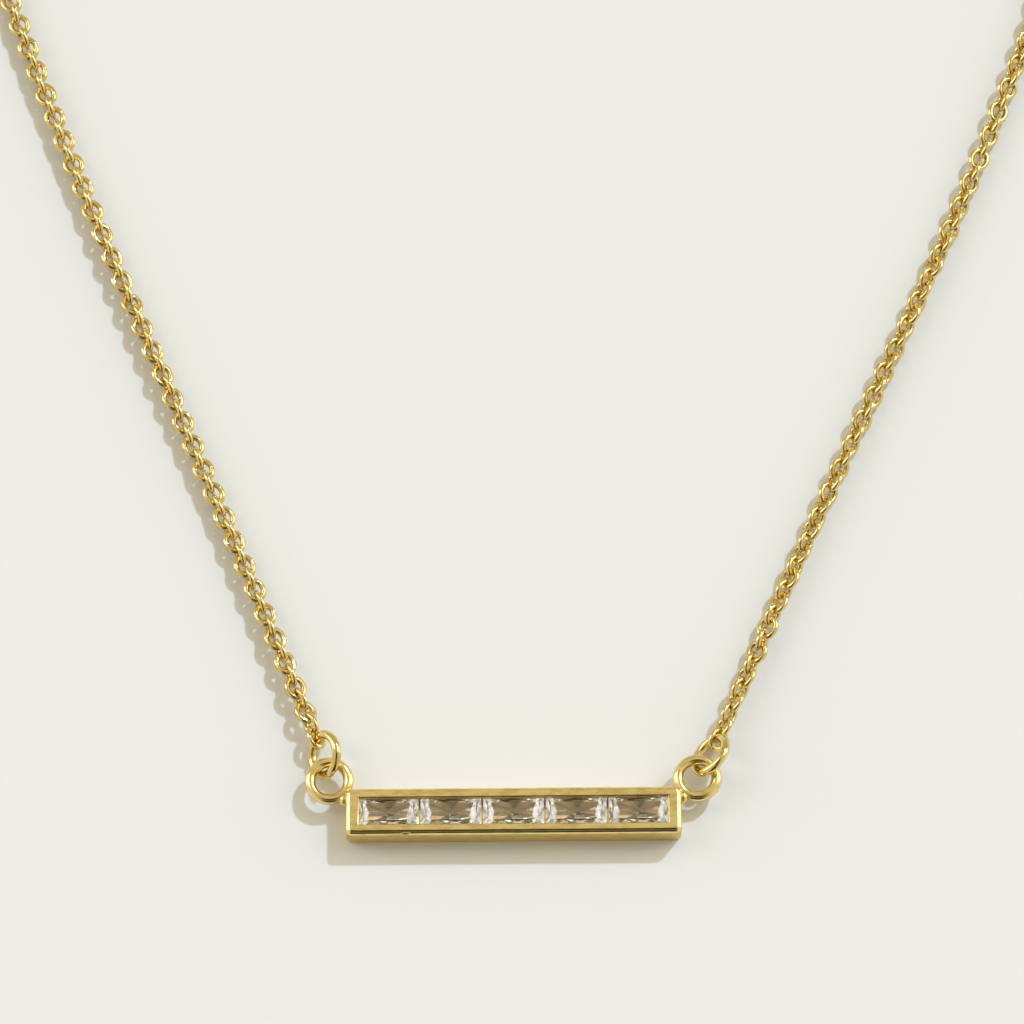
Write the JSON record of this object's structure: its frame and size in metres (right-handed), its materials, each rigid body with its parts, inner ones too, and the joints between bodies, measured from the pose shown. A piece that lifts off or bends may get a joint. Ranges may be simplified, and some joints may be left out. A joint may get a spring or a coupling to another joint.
{
  "type": "bar pendant necklace",
  "caption": "Slim bar pendant with a row of channel-set clear baguette stones, on a fine round-link chain closed by a ring clasp, lying flat.",
  "frame": {"origin": "middle of the bar's back face, on the surface that the necklace lies on", "axes": "+X along the bar to the wearer's left, +Y from the bar towards the clasp, +Z out of the bar's front face"},
  "size_m": [0.0943, 0.1928, 0.0032],
  "materials": {
    "gold": "polished yellow gold plate",
    "stone": "clear faceted crystal"
  },
  "bodies": {
    "root": {"bar_setting": "gold", "jump_ring_left": "gold", "chain_left": "gold", "jump_ring_right": "gold", "chain_right": "gold", "clasp": "gold", "closing_ring": "gold", "stone_1": "stone", "stone_2": "stone", "stone_3": "stone", "stone_4": "stone", "stone_5": "stone"}
  },
  "joints": []
}
